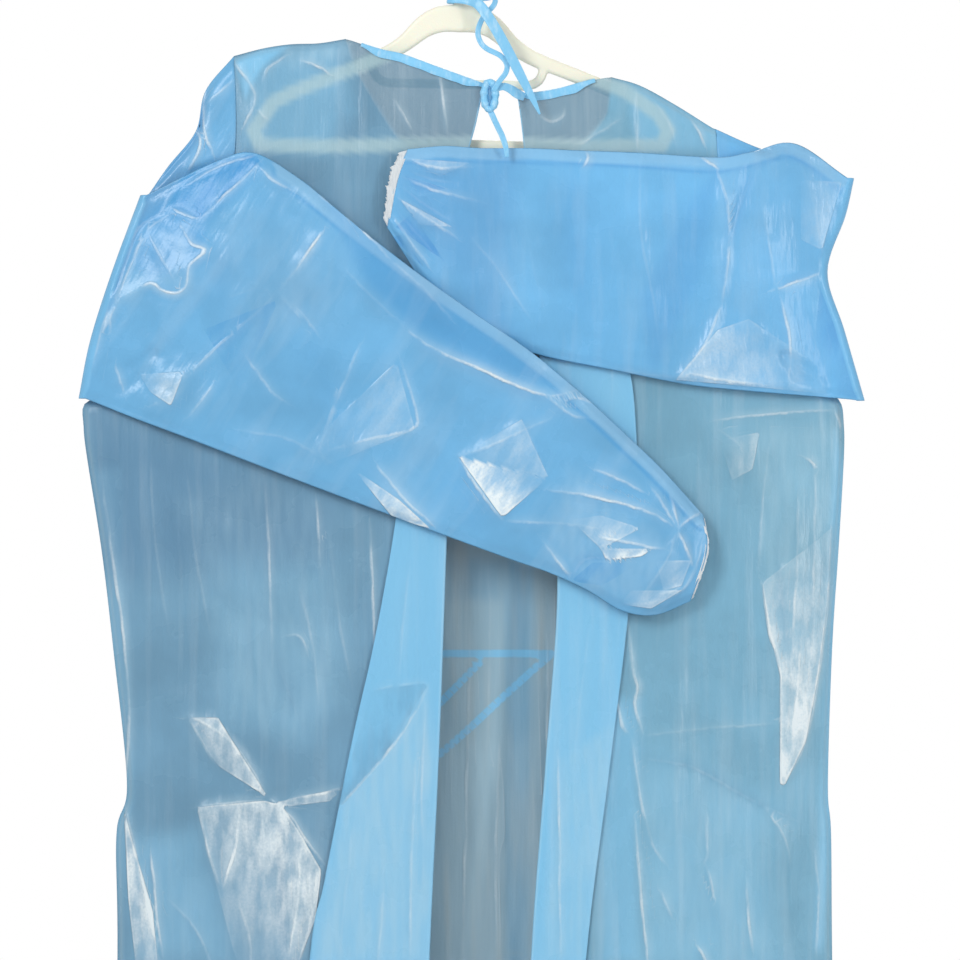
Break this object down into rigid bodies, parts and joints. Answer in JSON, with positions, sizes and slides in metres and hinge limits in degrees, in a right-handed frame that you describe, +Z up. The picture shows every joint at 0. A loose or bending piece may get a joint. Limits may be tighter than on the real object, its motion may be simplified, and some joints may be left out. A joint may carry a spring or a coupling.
{
  "type": "isolation gown on a hanger",
  "caption": "Film-coated nonwoven isolation gown with tied open back and elastic cuffs, sleeves folded across, on a flat moulded hanger.",
  "frame": {"origin": "top of the inside of the hanger's hook, where it rests on a rail", "axes": "+Z up; the gown's back faces -Y and its front faces +Y; +X is to the right as the back is looked at"},
  "size_m": [0.7351, 0.0899, 1.267],
  "materials": {
    "body_film": "translucent film-coated nonwoven",
    "sleeve_film": "translucent glossy film",
    "trim_film": "folded nonwoven strip",
    "elastic": "white elastic",
    "hanger_plastic": "satin ivory moulding"
  },
  "bodies": {
    "root": {"front": "body_film", "back_left": "body_film", "back_right": "body_film", "sleeve_left": "sleeve_film", "sleeve_right": "sleeve_film", "cuff_elastic_left": "elastic", "cuff_elastic_right": "elastic", "binding_back_left": "trim_film", "binding_back_right": "trim_film", "binding_front": "trim_film", "tie_left": "trim_film", "tie_right": "trim_film", "tie_right_end": "trim_film", "neck_knot": "trim_film", "belt_band": "trim_film", "belt_tail_long": "trim_film", "belt_tail_short": "trim_film", "hanger": "hanger_plastic"}
  },
  "joints": []
}
